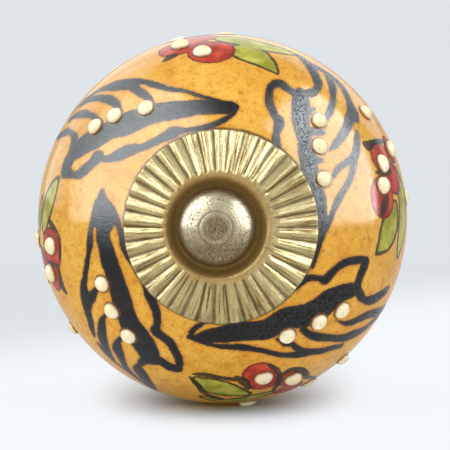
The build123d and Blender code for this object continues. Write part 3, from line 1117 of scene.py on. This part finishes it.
# Painted shade on the paper where the ball stands, darker and cooler, against the amber light that comes off
# it
FOOT_CENTRE = (0.0, -BALL_MIDDLE, FLOOR_Z)
FOOT_PAINTED_SHADE = srgb(222, 236, 254)
FOOT_SPAN = (0.008, 0.026)
# Strength of the world's own light, and how far the lamps stand away
SOFT_LIGHT = 0.3
LAMP_DISTANCE = 600.0


def seen_or_mirrored(n):
    """1 for what the camera sees by itself, in a mirror or through glass, and 0 for soft light."""
    path = n.add("LightPath").outputs
    seen = n.math("MAXIMUM", path["Is Camera Ray"], path["Is Glossy Ray"])
    return n.math("MAXIMUM", seen, path["Is Transmission Ray"])


def build_floor():
    """A pale floor that turns into the backdrop's colour away from the knob, and keeps its shadow."""
    r = FLOOR_REACH
    corners = [(x, y, FLOOR_Z) for x, y in ((-r, -r), (r, -r), (r, r), (-r, r))]
    floor = new_mesh("floor", corners, [(0, 1, 2, 3)])
    material = bpy.data.materials.new("floor_paper")
    n = Nodes(material)

    def reach_from(centre, shape=(1.0, 1.0, 1.0)):
        return n.length(n.vector("MULTIPLY", n.vector("SUBTRACT", n.place(), tuple(metres(centre))), shape))

    # Painted light: the bright floor reaches further back on the right than on the left
    to_back = n.math("SUBTRACT", n.axis("Y"), n.math("MULTIPLY", n.axis("X"), RIGHT_LIGHT_REACH))
    away = reach_from((0.0, 0.0, FLOOR_Z))
    far = n.math("MAXIMUM", n.ramp(to_back, *BACK_SPAN), n.ramp(away, *ROUND_SPAN))
    paper = n.mix(far, BRIGHT_FLOOR, BACKDROP)
    shown = n.ramp(reach_from(SHADOW_CENTRE, SHADOW_SHAPE), *SHINE_SPAN, 0.0, SHINE)
    shown = n.math("MAXIMUM", shown, n.ramp(away, *FULL_SHINE_SPAN))
    # Painted shade: darker, cooler paper round the ball's foot
    paper_with_foot_shade = n.mix(n.ramp(reach_from(FOOT_CENTRE), *FOOT_SPAN), FOOT_PAINTED_SHADE, paper)
    seen = seen_or_mirrored(n)
    n.set(
        Base_Color=n.mix(n.math("MULTIPLY", shown, seen), paper_with_foot_shade, BLACK),
        Roughness=0.9,
        Specular_IOR_Level=0.0,
        Emission_Color=n.mix(shown, BLACK, paper),
        Emission_Strength=seen,
    )
    floor.data.materials.append(material)


def add_light(name, azimuth, elevation, width, height, radiance, colour=(1, 1, 1)):
    """A soft box that faces the ball, at an angle from the front and above the horizon."""
    turn, tilt = radians(azimuth), radians(elevation)
    away = Vector((sin(turn) * cos(tilt), -cos(turn) * cos(tilt), sin(tilt)))
    data = bpy.data.lights.new(name, "AREA")
    data.shape = "RECTANGLE"
    data.size, data.size_y = metres((width, height))
    data.energy = radiance * pi * data.size * data.size_y
    data.color = colour
    lamp = add_object(name, data)
    lamp.visible_camera = False
    lamp.location = Vector(metres(ball_centre)) + away * LAMP_DISTANCE * MM
    lamp.rotation_euler = away.to_track_quat("Z", "Y").to_euler()
    return lamp


# Tint of the light that glaze and metal mirror
GLAZE_SHEEN = (0.9, 0.97, 1.0)
METAL_SHEEN = (0.85, 0.95, 1.18)
# Soft boxes: name, angle from the front, angle above the horizon, width, height and radiance
GLAZE_BOXES = [
    ("left_glaze", -70, 34, 900, 860, 11.2),
    ("rear_glaze", -127, 27, 440, 560, 2.2),
    ("right_glaze", 80, 29.5, 640, 740, 12.8),
    ("top_glaze", 170, 31, 800, 360, 1.6),
]
METAL_BOXES = [
    ("left_metal", -75, 34, 900, 800, 3.0),
    ("right_metal", 78, 16, 700, 900, 3.5),
]
FILL_BOXES = [
    ("left_fill", -60, 45, 700, 700, 0.8),
    ("right_fill", 60, 45, 700, 700, 0.75),
    ("top_fill", 0, 80, 700, 500, 1.45),
]
# One more fill box that lights the knob alone, past the floor
FRONT_BOX = ("front_fill", 0, -6, 600, 500, 2.25)
# The soft box that is dimmer at its back end: where along Y in metres, and what is left
FADED_BOX = "left_glaze"
FADE_SPAN = (-0.19, 0.23)
FADE_LEAST = 0.2


def light_only(lamp, pieces):
    """Lets a lamp reach only the given pieces, and returns them as a group."""
    group = bpy.data.collections.new(lamp.name + "_pieces")
    for piece in pieces:
        group.objects.link(piece)
    lamp.light_linking.receiver_collection = group
    return group


def fade_to_back(lamp):
    """Lets a soft box grow dimmer towards the back."""
    n = Nodes(lamp.data, "Emission")
    to_back = n.axis("Y", n.add("NewGeometry").outputs["Position"])
    n.set(Strength=n.ramp(to_back, *FADE_SPAN, 1.0, FADE_LEAST))


def build_light(glazed, metal):
    """Soft boxes that only glaze or metal mirrors, and fill boxes that nothing mirrors."""
    for boxes, colour, pieces in ((GLAZE_BOXES, GLAZE_SHEEN, glazed), (METAL_BOXES, METAL_SHEEN, metal)):
        for box in boxes:
            lamp = add_light(*box, colour)
            lamp.visible_diffuse = False
            light_only(lamp, pieces)
            if box[0] == FADED_BOX:
                fade_to_back(lamp)
    for box in FILL_BOXES:
        add_light(*box).visible_glossy = False
    front = add_light(*FRONT_BOX)
    front.visible_glossy = False
    front.light_linking.blocker_collection = light_only(front, glazed + metal)


def build_backdrop():
    """A world that looks pale and gives a little soft light."""
    world = bpy.data.worlds.new("studio")
    bpy.context.scene.world = world
    n = Nodes(world, "Background")
    n.set(Color=BACKDROP, Strength=n.ramp(seen_or_mirrored(n), 0.0, 1.0, SOFT_LIGHT, 1.0))


def build_camera():
    data = bpy.data.cameras.new("camera")
    data.sensor_width = SENSOR
    data.lens = SENSOR * focal_pixels / PHOTO_SIZE
    data.shift_x = (PHOTO_SIZE / 2 - BALL_PIXEL[0]) / PHOTO_SIZE
    data.shift_y = (BALL_PIXEL[1] - PHOTO_SIZE / 2) / PHOTO_SIZE
    data.clip_start, data.clip_end = 0.01, 10.0
    camera = add_object("camera", data)
    rotation = Matrix([view_right.tolist(), view_up.tolist(), view_back.tolist()]).transposed()
    camera.matrix_world = Matrix.Translation(metres(view_eye).tolist()) @ rotation.to_4x4()
    bpy.context.scene.camera = camera


glazed_pieces = [build_ball(), build_dots()]
metal_pieces = [build_rosette(), build_bolt(), build_base()] + dress_fasteners()
build_floor()
build_backdrop()
build_light(glazed_pieces, metal_pieces)
build_camera()
bpy.context.scene.view_settings.view_transform = "Standard"
